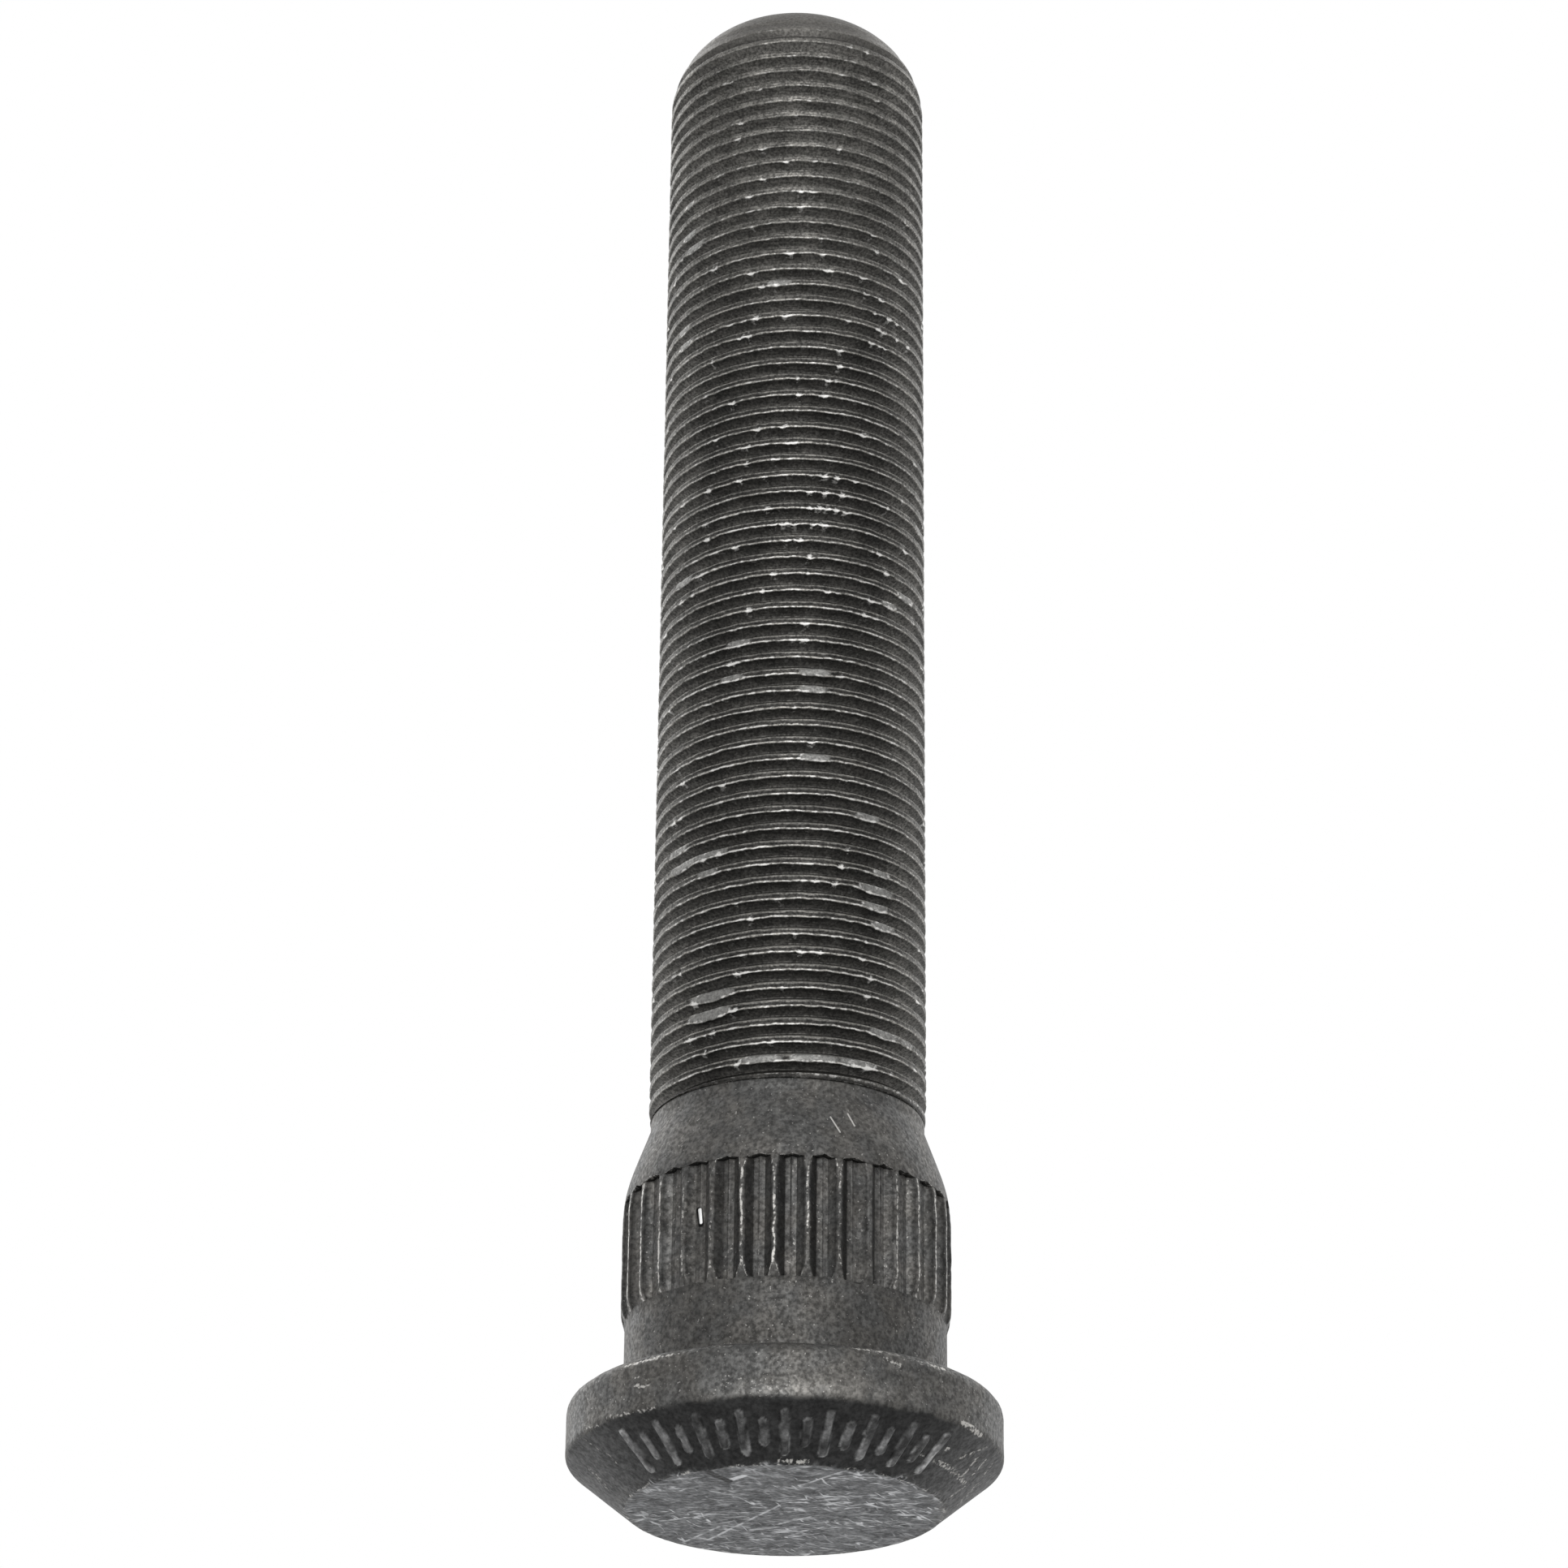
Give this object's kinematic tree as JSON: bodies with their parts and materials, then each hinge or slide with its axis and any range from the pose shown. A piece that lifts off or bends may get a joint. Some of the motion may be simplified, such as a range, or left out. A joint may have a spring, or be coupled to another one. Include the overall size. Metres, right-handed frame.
{
  "type": "wheel stud",
  "caption": "Press-in wheel stud: bevelled round head, serrated shoulder, cone, long fine thread and rounded nose, in dark steel.",
  "frame": {"origin": "centre of the head's flat end face, on which the stud stands", "axes": "+Z along the axis, from the head to the tip of the thread; -Y is the side that the picture shows"},
  "size_m": [0.0334, 0.0334, 0.131],
  "materials": {
    "dark_steel": "dark phosphate and oil, satin, with bright nicks on the thread's crests"
  },
  "bodies": {
    "root": {"wheel_stud": "dark_steel"}
  },
  "joints": []
}
